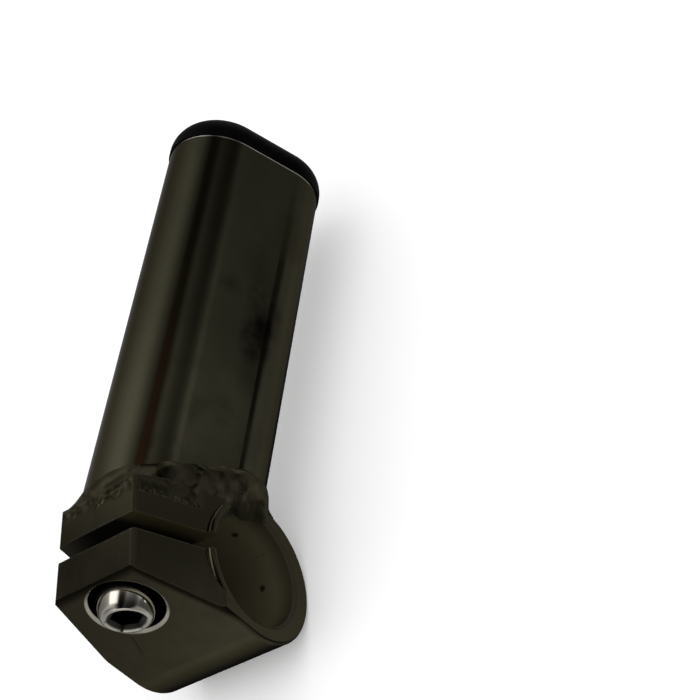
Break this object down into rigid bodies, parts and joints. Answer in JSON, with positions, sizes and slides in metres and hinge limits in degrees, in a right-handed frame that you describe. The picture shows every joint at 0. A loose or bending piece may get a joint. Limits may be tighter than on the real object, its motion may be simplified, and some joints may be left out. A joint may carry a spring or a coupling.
{
  "type": "bicycle bar end",
  "caption": "Welded handlebar bar end: a split clamp with a socket head bolt and a plugged bore carries a hollow oval horn with a push-in end cap.",
  "frame": {"origin": "middle of the clamp's bore, on its axis", "axes": "+X across the bore towards the horn, +Y along the bore out of the plugged end, +Z from the bore towards the clamp ears"},
  "size_m": [0.1131, 0.0501, 0.0414],
  "materials": {
    "clamp": "dark polished anodising",
    "horn_tube": "dark polished anodising",
    "weld_bead": "dark anodised weld, lumpy",
    "clamp_bolt": "bright plated",
    "tube_cap": "matte black",
    "bar_plug": "matte black"
  },
  "bodies": {
    "root": {"clamp": "clamp", "horn_tube": "horn_tube", "weld_bead": "weld_bead", "clamp_bolt": "clamp_bolt", "tube_cap": "tube_cap", "bar_plug": "bar_plug"}
  },
  "joints": []
}
